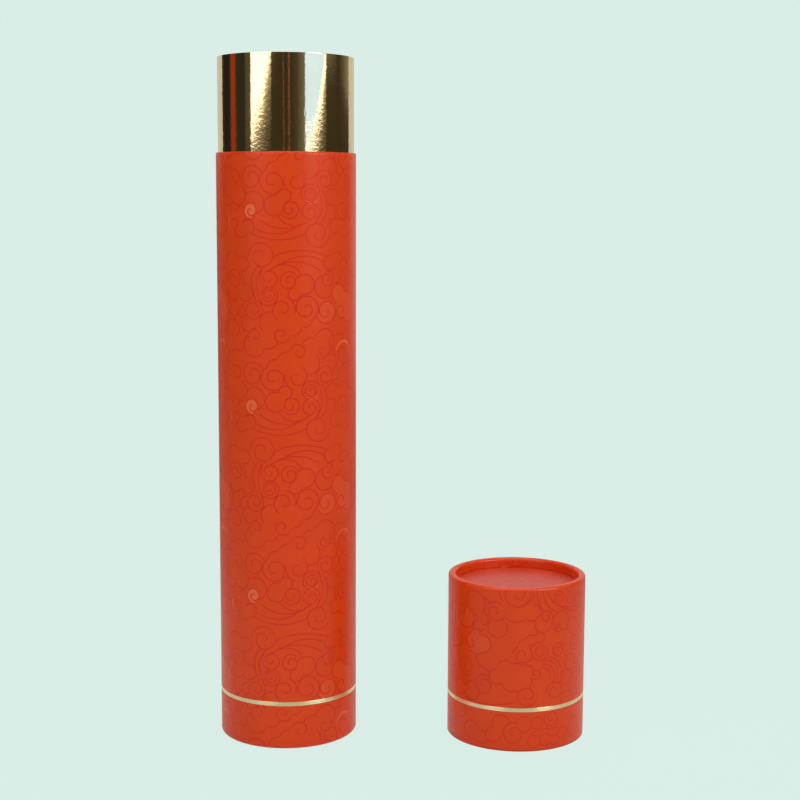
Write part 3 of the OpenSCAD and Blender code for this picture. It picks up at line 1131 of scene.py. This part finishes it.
class GIFT_TUBE_OT_wraps(bpy.types.Operator):
    """Wrap the tube and the cap in printed paper, turned in at their edges"""

    bl_idname = "gift_tube.wraps"
    bl_label = "Printed papers"

    def execute(self, context):
        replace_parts(wrap_piece("base_paper", "base", "tube"), "base_wrap")
        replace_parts(wrap_piece("cap_paper", "cap", "cap"), "cap_wrap")
        return {"FINISHED"}


class GIFT_TUBE_OT_clouds(bpy.types.Operator):
    """Print the scrolling clouds on both papers"""

    bl_idname = "gift_tube.clouds"
    bl_label = "Cloud print"

    def execute(self, context):
        lift = printing().lift
        low = lift * CRESCENT_LIFT
        lines = MATERIALS["cloud line"]
        light = MATERIALS["cloud crescent"]
        for key, body in (("base", "tube"), ("cap", "cap")):
            tile = layouts()[key].tile
            line_piece(key + "_cloud_lines", key, body, tile_strokes(tile), even_width, lift, lines)
            line_piece(key + "_cloud_crescents", key, body, crescents(tile), crescent_width, low, light)
            tint_piece(key + "_cloud_tints", key, body)
        return {"FINISHED"}


class GIFT_TUBE_OT_discs(bpy.types.Operator):
    """Cover the pressed discs with plain red paper"""

    bl_idname = "gift_tube.discs"
    bl_label = "Disc covers"

    def execute(self, context):
        top = disc_piece("cap_disc_paper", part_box("cap_disc_cover"), CAP_X, True, "cap")
        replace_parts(top, "cap_disc_cover")
        under = disc_piece("base_disc_paper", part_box("base_disc_cover"), BASE_X, False, "tube")
        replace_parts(under, "base_disc_cover")
        return {"FINISHED"}


class GIFT_TUBE_OT_foils(bpy.types.Operator):
    """Paper the neck in gold foil and stamp the two stripes"""

    bl_idname = "gift_tube.foils"
    bl_label = "Foils"

    def execute(self, context):
        neck_piece()
        base = stripe_piece("base_gold_stripe", "base", "tube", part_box("base_foil_stripe"))
        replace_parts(base, "base_foil_stripe")
        cap = stripe_piece("cap_gold_stripe", "cap", "cap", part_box("cap_foil_stripe"))
        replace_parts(cap, "cap_foil_stripe")
        return {"FINISHED"}


# The stage round the tube: bearings are in degrees to the right of the camera, seen from the tube
STAGE_R = 1.2
FLAG_R = 1.15
STAGE_TOP = 2.0
SOFTBOX_H = 1.7
# Two lower corners of each softbox, each a bearing and a height
LEFT_SOFTBOX = ((-64, 0.279), (-24, 0.477))
RIGHT_SOFTBOX = ((32.5, 0.289), (68, 0.477))
# What gloss sees of a softbox: a bearing, the height of its lower edge there and a share of its glow
LEFT_EDGE = (
    (-84, 0.33, 0.0), (-74, 0.335, 0.01), (-60, 0.355, 0.03), (-58.5, 0.366, 1.0), (-55, 0.377, 1.0),
    (-39.5, 0.414, 1.0), (-29, 0.457, 1.0), (-25, 0.474, 1.0), (-23, 0.48, 0.06), (-14, 0.48, 0.012),
    (-7, 0.48, 0.0),
)
RIGHT_EDGE = (
    (9, 0.33, 0.0), (18, 0.33, 0.012), (31, 0.33, 0.08), (32.5, 0.33, 1.0), (39, 0.345, 1.0),
    (47, 0.360, 1.0), (54, 0.384, 1.0), (61, 0.414, 1.0), (66, 0.441, 1.0), (69, 0.457, 1.0),
    (70.5, 0.46, 0.07), (88, 0.46, 0.03), (97, 0.46, 0.0), (108, 0.44, 0.03), (121, 0.42, 0.08),
    (130, 0.42, 0.14),
)
UPPER_EDGE = ((38, 0.53, 1.0), (64, 0.53, 1.0))
# Tint of a softbox's spill, and its level at each height from the edge
WARM = np.array([1.0, 0.93, 0.72])
SPILL = ((-0.13, 0.0), (-0.085, 0.05), (-0.055, 0.10), (-0.032, 0.20), (-0.014, 0.44), (0.0, 1.1))
# Radiance of each glow at heights above its edge. The gold foil shows the last two of the right
# glow in the backdrop's own colour. A height over FULL stands for the glow's top.
FULL = 0.1
LEFT_LIGHT = ((0.012, (2.1, 2.1, 2.1)), (0.2, (2.1, 2.1, 2.1)))
RIGHT_LIGHT = (
    (0.010, (1.9, 1.9, 1.9)), (0.022, (1.9, 1.9, 1.9)),
    (0.027, (0.76, 1.16, 1.88)), (0.2, (0.76, 1.16, 1.88)),
)
RIGHT_TOP = 0.52
UPPER_LIGHT = ((0, (8.5, 7.7, 6.9)), (0.2, (8.5, 7.7, 6.9)))
UPPER_TOP = 1.3
# Cards that only gloss sees: name, bearing, width, foot, top, distance and light
CARDS = (
    ("left flag", -79, 0.344, 0, STAGE_TOP, FLAG_R, (0.031, 0.0277, 0.022)),
    ("far left flag", -116, 0.364, 0, STAGE_TOP, FLAG_R, (0.021, 0.017, 0.016)),
    ("red card", -97.5, 0.23, -0.1, 1.2, STAGE_R, (0.31, 0.045, 0.014)),
    ("thin stand", -4, 0.035, 0, 1.2, STAGE_R, (0.16, 0.075, 0.03)),
    ("thick stand", 5, 0.05, 0, 1.2, STAGE_R, (0.20, 0.085, 0.03)),
)
# Height and half size of the floor; centre, half width and half height of the panels at the back
FLOOR_Z = -0.0002
FLOOR_HALF = 3
BACKDROP = ((-0.275, 1.7, 1.2), 2.025, 1.4)
BACK_FLAG = ((-1.35, 1.65, 0.13), 1.0, 0.23)
BACK_LIGHT = (0.2, 0.2, 0.19)
# Colour of the room's even diffuse light
FILL = (0.8, 0.8, 0.8)
# The floor's gloss against the backdrop's, its share of plain colour near the set, and its gloss far off
FLOOR_GLOSS = 1.04
FLOOR_KEPT = 0.96
FLOOR_FAR = 0.4
# Distances from the set over which the floor's share turns plain, and over which its gloss falls
PLAIN_FROM, PLAIN_TO = 0.2, 0.8
GLOSS_FROM, GLOSS_TO = 0.25, 0.65
TOP_SIZE = (1.0, 0.7)
TOP_PLACE = (0, 0.1, 1.6)


def outward(bearing):
    """Unit direction from the tube's axis at a bearing to the right of the camera."""
    angle = np.arctan2(studio().camera[1], studio().camera[0]) + np.radians(bearing)
    return np.cos(angle), np.sin(angle)


def mirrored(obj):
    """Leave a stage panel to reflections alone."""
    obj.visible_camera = False
    obj.visible_diffuse = False
    obj.visible_transmission = False
    obj.visible_shadow = False


def panel(name, verts, faces, material):
    """A stage panel from its points."""
    mesh = bpy.data.meshes.new(name)
    mesh.from_pydata(verts, [], faces)
    mesh.materials.append(material)
    obj = new_object(name, mesh)
    return obj


def flat_panel(name, centre, u_axis, v_axis, material):
    """A flat panel: centre plus and minus its two half axes."""
    c, u, v = (np.array(q, float) for q in (centre, u_axis, v_axis))
    corners = [tuple(c - u - v), tuple(c + u - v), tuple(c + u + v), tuple(c - u + v)]
    return panel(name, corners, [(0, 1, 2, 3)], material)


def glow(name, colour):
    """An even light of one colour, or of the colours in the mesh's attribute of that name."""
    n = Nodes(bpy.data.materials.new(name), bare=True)
    light = n.add("ShaderNodeEmission")
    if isinstance(colour, str):
        n.link(n.attribute(colour, "Color"), light.inputs["Color"])
    else:
        light.inputs["Color"].default_value = (*colour, 1)
    n.show(light.outputs[0])
    return n.owner


def seen_colour(name, colour, gloss_colour, kept, far):
    """Shows one colour to the camera and another to gloss, with a share left that takes shadows.

    That share fades out away from the set, so the floor runs into the backdrop, and the gloss
    falls to its far level there.
    """
    n = Nodes(bpy.data.materials.new(name), bare=True)
    path = n.add("ShaderNodeLightPath").outputs
    reach = n.add("ShaderNodeVectorMath", operation="LENGTH")
    n.link(n.add("ShaderNodeTexCoord").outputs["Object"], reach.inputs[0])
    away = reach.outputs["Value"]
    gloss = n.light("ShaderNodeEmission", gloss_colour, n.remap(away, GLOSS_FROM, GLOSS_TO, 1, far))
    direct = n.math("MAXIMUM", path["Is Camera Ray"], path["Is Transmission Ray"])
    share = n.math("MULTIPLY", direct, n.remap(away, PLAIN_FROM, PLAIN_TO, kept, 1))
    seen = n.blend(share, n.light("ShaderNodeBsdfDiffuse", colour), n.light("ShaderNodeEmission", colour))
    n.show(n.blend(path["Is Glossy Ray"], seen, gloss))
    return n.owner


def area_lamp(name, width, height, radiance):
    """A rectangular lamp. Its power is four times radiance times area."""
    data = bpy.data.lights.new(name, "AREA")
    data.shape = "RECTANGLE"
    data.size = width
    data.size_y = height
    data.energy = 4 * radiance * width * height
    return new_object(name, data)


def softbox(name, corners, radiance):
    """An area lamp that faces the tube and stands on its two lower corners. Gloss doesn't see it."""
    ends = []
    for bearing, z in corners:
        x, y = outward(bearing)
        ends.append(Vector((BASE_X + STAGE_R * x, STAGE_R * y, z)))
    along = ends[1] - ends[0]
    obj = area_lamp(name, along.length, SOFTBOX_H, radiance)
    along.normalize()
    up = (Vector((0, 0, 1)) - along * along.z).normalized()
    turn = Matrix((along, up, along.cross(up))).transposed().to_4x4()
    place = (ends[0] + ends[1]) / 2 + up * SOFTBOX_H / 2
    obj.matrix_world = Matrix.Translation(place) @ turn
    obj.visible_glossy = False


def reflector(name, columns, rows, top):
    """What gloss sees of a softbox: a glowing wall round the tube, above a bent lower edge.

    columns hold a bearing, the edge's height there and a share of the glow; rows hold a height
    from the edge and a radiance there, so the glow spills softly past the edge into the dark room.
    A share below 1 is the spill beside the softbox, in the warm tint.
    """
    bearing, edge, share = np.array(columns, float).T
    out_x, out_y = outward(bearing)
    offset = np.array([row[0] for row in rows])[:, None]
    full = np.array([row[1] for row in rows], float)[:, None, :]
    warm = full.max(axis=2, keepdims=True) * WARM
    share = share[None, :, None]
    colour = np.where(share < 1, warm, full) * share + tuple(studio().dark)
    z = np.where(offset > FULL, top, edge[None, :] + offset)
    x = np.broadcast_to(BASE_X + STAGE_R * out_x, z.shape)
    y = np.broadcast_to(STAGE_R * out_y, z.shape)
    verts = np.stack([x, y, z], -1).reshape(-1, 3).tolist()
    obj = panel(name, verts, grid_faces(*z.shape, False).tolist(), glow(name, "radiance"))
    values = np.concatenate([colour, np.ones((*z.shape, 1))], -1)
    obj.data.attributes.new("radiance", "FLOAT_COLOR", "POINT").data.foreach_set("color", values.ravel())
    mirrored(obj)


def card(name, bearing, width, low, high, distance, colour):
    """A glowing upright strip beside the set that the foil mirrors."""
    out = np.array([*outward(bearing), 0])
    side = np.array([-out[1], out[0], 0])
    centre = out * distance + (BASE_X, 0, (low + high) / 2)
    mirrored(flat_panel(name, centre, side * width / 2, (0, 0, (high - low) / 2), glow(name, colour)))


def room():
    """World: the backdrop's colour to the camera, dim in reflections, and an even diffuse fill."""
    st = studio()
    world = bpy.data.worlds.new("room")
    n = Nodes(world, bare=True)
    path = n.add("ShaderNodeLightPath").outputs
    split = n.add("ShaderNodeSeparateXYZ")
    n.link(n.add("ShaderNodeTexCoord").outputs["Generated"], split.inputs["Vector"])
    level = n.remap(split.outputs["X"], -1, 1, st.ambient * (1 - st.lean), st.ambient * (1 + st.lean))
    kind = "ShaderNodeBackground"
    fill = n.light(kind, FILL, level)
    unseen = n.blend(path["Is Glossy Ray"], fill, n.light(kind, st.dark))
    n.show(n.blend(path["Is Camera Ray"], unseen, n.light(kind, st.mint)), "World")
    bpy.context.scene.world = world


def set_camera():
    """The camera, by its place from the foot of the tube and its yaw, pitch and roll."""
    st = studio()
    cam = bpy.data.cameras.new("camera")
    cam.sensor_width = 36.0
    cam.lens = st.lens
    obj = new_object("camera", cam)
    place = Vector(st.camera) + Vector((BASE_X, 0, 0))
    turn = Matrix.Rotation(st.yaw, 4, "Z") @ Matrix.Rotation(np.pi / 2 - st.pitch, 4, "X")
    obj.matrix_world = Matrix.Translation(place) @ turn @ Matrix.Rotation(st.roll, 4, "Z")
    bpy.context.scene.camera = obj


def upright_panel(name, place, material):
    """A flat panel that faces the camera, from its centre and its half width and half height."""
    centre, half_w, half_h = place
    return flat_panel(name, centre, (half_w, 0, 0), (0, 0, half_h), material)


def set_floor():
    """The floor and the backdrop, plain in one colour, and a dim flag at the back for the foil."""
    mint = tuple(studio().mint)
    pale = tuple(studio().pale)
    floor = seen_colour("floor", mint, shade(pale, FLOOR_GLOSS), FLOOR_KEPT, FLOOR_FAR)
    flat_panel("floor", (0, 0, FLOOR_Z), (FLOOR_HALF, 0, 0), (0, FLOOR_HALF, 0), floor)
    upright_panel("backdrop", BACKDROP, seen_colour("backdrop", mint, pale, 1.0, 1.0))
    mirrored(upright_panel("back flag", BACK_FLAG, glow("flag", BACK_LIGHT)))


def set_lamps():
    """The softboxes for the diffuse light, and the glowing walls and cards that gloss sees instead."""
    st = studio()
    softbox("left softbox", LEFT_SOFTBOX, st.left)
    softbox("right softbox", RIGHT_SOFTBOX, st.right)
    area_lamp("top softbox", *TOP_SIZE, st.top).location = TOP_PLACE
    spill = tuple((low, tuple(level * WARM)) for low, level in SPILL)
    reflector("left glow", LEFT_EDGE, spill + LEFT_LIGHT, STAGE_TOP)
    reflector("right glow", RIGHT_EDGE, spill + RIGHT_LIGHT, RIGHT_TOP)
    reflector("upper right glow", UPPER_EDGE, UPPER_LIGHT, UPPER_TOP)
    for strip in CARDS:
        card(*strip)


class GIFT_TUBE_OT_stage(bpy.types.Operator):
    """Set the camera, the pale floor and backdrop, the softboxes, the cards and the room"""

    bl_idname = "gift_tube.stage"
    bl_label = "Studio"

    def execute(self, context):
        set_camera()
        set_floor()
        set_lamps()
        room()
        context.scene.view_settings.view_transform = "Standard"
        return {"FINISHED"}


class GIFT_TUBE_PT_panel(bpy.types.Panel):
    """The steps in order, in the 3D view's sidebar"""

    bl_idname = "GIFT_TUBE_PT_panel"
    bl_label = "Gift Tube"
    bl_space_type = "VIEW_3D"
    bl_region_type = "UI"
    bl_category = "Gift Tube"

    def draw(self, context):
        for step in STEPS:
            self.layout.operator(step.bl_idname)


STEPS = (
    GIFT_TUBE_OT_stage,
    GIFT_TUBE_OT_materials,
    GIFT_TUBE_OT_boards,
    GIFT_TUBE_OT_wraps,
    GIFT_TUBE_OT_clouds,
    GIFT_TUBE_OT_discs,
    GIFT_TUBE_OT_foils,
)


def register():
    for cls in (*SETTINGS.values(), *STEPS, GIFT_TUBE_PT_panel):
        bpy.utils.register_class(cls)
    for name, group in SETTINGS.items():
        setattr(bpy.types.Scene, name, bpy.props.PointerProperty(type=group))


def unregister():
    for name in SETTINGS:
        delattr(bpy.types.Scene, name)
    for cls in reversed((*SETTINGS.values(), *STEPS, GIFT_TUBE_PT_panel)):
        bpy.utils.unregister_class(cls)


def main():
    register()
    bpy.ops.gift_tube.stage()
    bpy.ops.gift_tube.materials()
    bpy.ops.gift_tube.boards()
    bpy.ops.gift_tube.wraps()
    bpy.ops.gift_tube.clouds()
    bpy.ops.gift_tube.discs()
    bpy.ops.gift_tube.foils()


if __name__ == "__main__":
    main()
